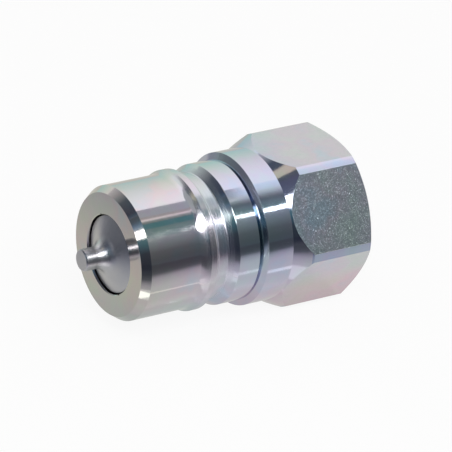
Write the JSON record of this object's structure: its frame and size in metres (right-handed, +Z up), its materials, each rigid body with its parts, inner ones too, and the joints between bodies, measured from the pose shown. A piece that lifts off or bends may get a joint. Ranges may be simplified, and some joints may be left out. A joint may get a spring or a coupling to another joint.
{
  "type": "quick coupling plug",
  "caption": "Male quick coupling plug with a spring-loaded poppet in a flat nose, a locking shoulder and ball groove, and a hexagon with a female port.",
  "frame": {"origin": "on the axis, where the port's bevel ends and its thread begins, 0.5 mm inside the hexagon's rear face", "axes": "+X along the axis out of the port, so the nose points to -X; +Z up, with the plug lying on a flat of its hexagon"},
  "size_m": [0.0405, 0.0247, 0.022],
  "materials": {
    "plated_steel": "zinc plated steel with a clear iridescent passivate",
    "turned_steel": "plain plated steel with fine turning lines",
    "spring_steel": "drawn stainless spring wire",
    "seal_rubber": "black nitrile rubber",
    "backup_plastic": "white fluoropolymer"
  },
  "bodies": {
    "body": {"front_body": "plated_steel", "rear_adapter": "plated_steel", "valve_guide": "turned_steel", "valve_spring": "spring_steel", "joint_seal": "seal_rubber", "joint_backup_ring": "backup_plastic"},
    "valve": {"valve_poppet": "turned_steel", "poppet_seal": "seal_rubber"}
  },
  "joints": [
    {"name": "poppet_slide", "type": "slide", "parent": "body", "child": "valve", "axis": [1, 0, 0], "range_m": [0, 0.0043], "stiffness_N_per_m": 3500, "springref_m": -0.004, "deforming": ["valve_spring"]}
  ]
}
